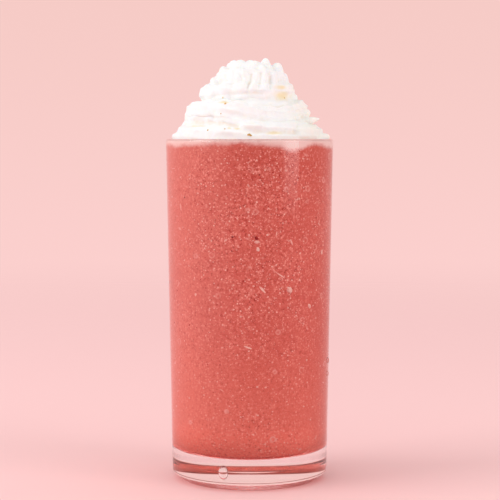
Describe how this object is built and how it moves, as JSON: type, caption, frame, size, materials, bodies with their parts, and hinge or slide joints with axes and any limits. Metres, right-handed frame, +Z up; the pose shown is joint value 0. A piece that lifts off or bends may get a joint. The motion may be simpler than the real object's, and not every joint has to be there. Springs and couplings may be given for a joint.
{
  "type": "strawberry smoothie",
  "caption": "Tall clear tumbler filled with strawberry smoothie and topped with a piped swirl of whipped cream.",
  "frame": {"origin": "on the table, under the middle of the glass", "axes": "+Z up along the glass, -Y towards the side that the picture shows"},
  "size_m": [0.071, 0.071, 0.1797],
  "materials": {
    "clear_glass": "clear, smooth and polished",
    "strawberry_drink": "fine wet foam with pale specks and a few small bubbles",
    "whipped_cream": "soft satin cream, slightly translucent"
  },
  "bodies": {
    "root": {"glass": "clear_glass", "smoothie": "strawberry_drink", "whipped_cream": "whipped_cream"}
  },
  "joints": []
}
